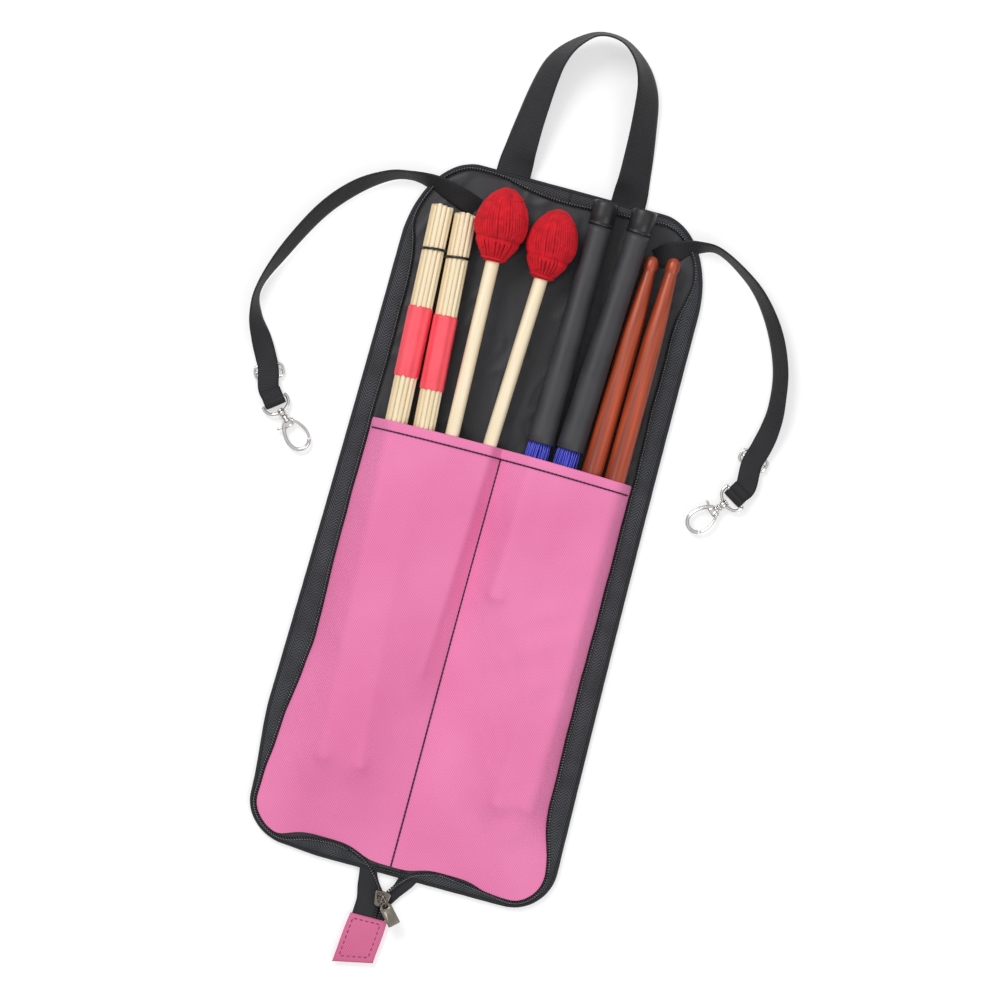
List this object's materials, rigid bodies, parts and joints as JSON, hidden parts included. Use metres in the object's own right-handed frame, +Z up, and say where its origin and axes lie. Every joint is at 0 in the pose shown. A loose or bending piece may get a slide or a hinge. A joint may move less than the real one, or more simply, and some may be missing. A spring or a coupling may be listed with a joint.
{
  "type": "drum stick bag",
  "caption": "Zip-round bag for drum sticks, open like a book, with a pink pocket across both halves, a webbing handle and clip-on side straps, holding rods, mallets, brushes and sticks.",
  "frame": {"origin": "centre of the open bag's back face, on the table", "axes": "+X to the right across the open bag, +Y along the bag towards the carrying handle, +Z up out of the pockets"},
  "size_m": [0.3869, 0.6884, 0.0467],
  "materials": {
    "black_fabric": "woven black polyester, matt",
    "liner": "smooth black nylon with a soft sheen",
    "foam": "thin closed-cell padding",
    "pink_fabric": "pink woven polyester, matt",
    "zip_tape": "black herringbone tape",
    "zip_teeth": "moulded black coil",
    "webbing": "black ribbed webbing",
    "nickel": "bright nickel plate",
    "antique_nickel": "dark nickel plate",
    "bamboo": "peeled bamboo dowels",
    "red_grip": "coral red sleeve",
    "black_rubber": "black rubber",
    "yarn": "wound red yarn",
    "birch": "pale birch, satin",
    "grey_rubber": "dark grey rubber tube",
    "blue_bristle": "blue nylon bristles",
    "rosewood": "reddish brown wood, satin lacquer"
  },
  "bodies": {
    "half_right": {"shell_right": "black_fabric", "foam_right": "foam", "liner_right": "liner", "binding_right": "black_fabric", "zip_tape_right": "zip_tape", "zip_teeth_right": "zip_teeth", "pocket_right": "pink_fabric", "zip_tail_tape": "zip_tape", "zip_tail_teeth": "zip_teeth", "end_tab": "pink_fabric"},
    "half_left": {"shell_left": "black_fabric", "foam_left": "foam", "liner_left": "liner", "binding_left": "black_fabric", "zip_tape_left": "zip_tape", "zip_teeth_left": "zip_teeth", "pocket_left": "pink_fabric"},
    "handle_right": {"handle_webbing_right": "webbing"},
    "handle_left": {"handle_webbing_left": "webbing"},
    "strap_left": {"strap_webbing_left": "webbing", "strap_end_loop_left": "webbing"},
    "strap_right": {"strap_webbing_right": "webbing", "strap_end_loop_right": "webbing"},
    "adjuster_left": {"triglide_left": "nickel"},
    "adjuster_right": {"triglide_right": "nickel"},
    "ring_left": {"swivel_ring_left": "nickel"},
    "ring_right": {"swivel_ring_right": "nickel"},
    "hook_left": {"hook_body_left": "nickel", "gate_pin_left": "nickel"},
    "hook_right": {"hook_body_right": "nickel", "gate_pin_right": "nickel"},
    "hook_gate_left": {"gate_left": "nickel"},
    "hook_gate_right": {"gate_right": "nickel"},
    "slider": {"slider_body": "antique_nickel"},
    "pull_link": {"pull_ring": "antique_nickel"},
    "pull": {"pull_tab": "antique_nickel"},
    "rod_1": {"rod_1_dowels": "bamboo", "rod_1_grip": "red_grip", "rod_1_band": "black_rubber"},
    "rod_2": {"rod_2_dowels": "bamboo", "rod_2_grip": "red_grip", "rod_2_band": "black_rubber"},
    "mallet_1": {"mallet_1_shaft": "birch", "mallet_1_head": "yarn"},
    "mallet_2": {"mallet_2_shaft": "birch", "mallet_2_head": "yarn"},
    "brush_1": {"brush_1_bristles": "blue_bristle", "brush_1_tube": "grey_rubber", "brush_1_cap": "black_rubber"},
    "brush_2": {"brush_2_bristles": "blue_bristle", "brush_2_tube": "grey_rubber", "brush_2_cap": "black_rubber"},
    "drumstick_1": {"stick_1": "rosewood"},
    "drumstick_2": {"stick_2": "rosewood"}
  },
  "joints": [
    {"name": "bag_fold", "type": "hinge", "parent": "half_right", "child": "half_left", "pos_m": [-0.003, 0, 0.023], "axis": [0, 1, 0], "range_deg": [0, 135]},
    {"name": "handle_swing", "type": "hinge", "parent": "half_right", "child": "handle_right", "pos_m": [-0.003, 0.2542, 0.0024], "axis": [-1, 0, 0], "range_deg": [-75, 0]},
    {"name": "handle_close", "type": "hinge", "parent": "handle_right", "child": "handle_left", "pos_m": [-0.003, 0, 0.023], "axis": [0, 1, 0], "range_deg": [0, 135]},
    {"name": "strap_swing_left", "type": "hinge", "parent": "half_left", "child": "strap_left", "pos_m": [-0.07, 0.226, 0.0064], "axis": [0, 0, 1], "range_deg": [-10, 5]},
    {"name": "adjuster_slide_left", "type": "slide", "parent": "strap_left", "child": "adjuster_left", "axis": [0.4067, -0.9135, 0], "range_m": [-0.006, 0.004]},
    {"name": "ring_tilt_left", "type": "hinge", "parent": "strap_left", "child": "ring_left", "pos_m": [-0.16635, 0.05186, 0.0042], "axis": [0.6691, 0.7431, 0], "range_deg": [-60, 0]},
    {"name": "hook_swivel_left", "type": "hinge", "parent": "ring_left", "child": "hook_left", "pos_m": [-0.16635, 0.05186, 0.0042], "axis": [0.7431, -0.6691, 0], "continuous": true},
    {"name": "gate_left", "type": "hinge", "parent": "hook_left", "child": "hook_gate_left", "pos_m": [-0.15045, 0.04225, 0.0042], "axis": [0, 0, 1], "range_deg": [-20, 0], "stiffness_Nm_per_rad": 0.02, "springref_deg": 114.59},
    {"name": "strap_swing_right", "type": "hinge", "parent": "half_right", "child": "strap_right", "pos_m": [0.076, 0.2255, 0.0064], "axis": [0, 0, 1], "range_deg": [-5, 10]},
    {"name": "adjuster_slide_right", "type": "slide", "parent": "strap_right", "child": "adjuster_right", "axis": [-0.2419, -0.9703, 0], "range_m": [-0.006, 0.004]},
    {"name": "ring_tilt_right", "type": "hinge", "parent": "strap_right", "child": "ring_right", "pos_m": [0.16855, 0.07157, 0.0042], "axis": [0.7547, -0.6561, 0], "range_deg": [-60, 0]},
    {"name": "hook_swivel_right", "type": "hinge", "parent": "ring_right", "child": "hook_right", "pos_m": [0.16855, 0.07157, 0.0042], "axis": [-0.6561, -0.7547, 0], "continuous": true},
    {"name": "gate_right", "type": "hinge", "parent": "hook_right", "child": "hook_gate_right", "pos_m": [0.15921, 0.0555, 0.0042], "axis": [0, 0, 1], "range_deg": [-20, 0], "stiffness_Nm_per_rad": 0.02, "springref_deg": 114.59},
    {"name": "slider_travel", "type": "slide", "parent": "half_right", "child": "slider", "axis": [0, 1, 0], "range_m": [0, 0.008]},
    {"name": "pull_link_swing", "type": "hinge", "parent": "slider", "child": "pull_link", "pos_m": [0, -0.2704, 0.0096], "axis": [0, 0, 1], "range_deg": [0, 80]},
    {"name": "pull_tilt", "type": "hinge", "parent": "pull_link", "child": "pull", "pos_m": [0.00348, -0.27426, 0.0117], "axis": [0.7431, 0.6691, 0], "range_deg": [-25, 12]},
    {"name": "slide_out_rod_1", "type": "slide", "parent": "half_left", "child": "rod_1", "axis": [-0.0687, 0.9975, 0.0175], "range_m": [0, 0.25]},
    {"name": "slide_out_rod_2", "type": "slide", "parent": "half_left", "child": "rod_2", "axis": [-0.0687, 0.9976, 0.0115], "range_m": [0, 0.25]},
    {"name": "slide_out_mallet_1", "type": "slide", "parent": "half_left", "child": "mallet_1", "axis": [-0.0322, 0.9978, 0.0575], "range_m": [0, 0.03]},
    {"name": "slide_out_mallet_2", "type": "slide", "parent": "half_left", "child": "mallet_2", "axis": [0.0363, 0.9984, 0.0445], "range_m": [0, 0.1]},
    {"name": "slide_out_brush_1", "type": "slide", "parent": "half_right", "child": "brush_1", "axis": [0.0055, 0.9999, 0.012], "range_m": [0, 0.02]},
    {"name": "slide_out_brush_2", "type": "slide", "parent": "half_right", "child": "brush_2", "axis": [0.0136, 0.9991, 0.0412], "range_m": [0, 0.15]},
    {"name": "slide_out_drumstick_1", "type": "slide", "parent": "half_right", "child": "drumstick_1", "axis": [0.0136, 0.9999, 0.0067], "range_m": [0, 0.3]},
    {"name": "slide_out_drumstick_2", "type": "slide", "parent": "half_right", "child": "drumstick_2", "axis": [0.0136, 0.9997, 0.0201], "range_m": [0, 0.3]}
  ],
  "couplings": [
    {"joint": "handle_close", "follows": "bag_fold", "ratio": 1}
  ]
}
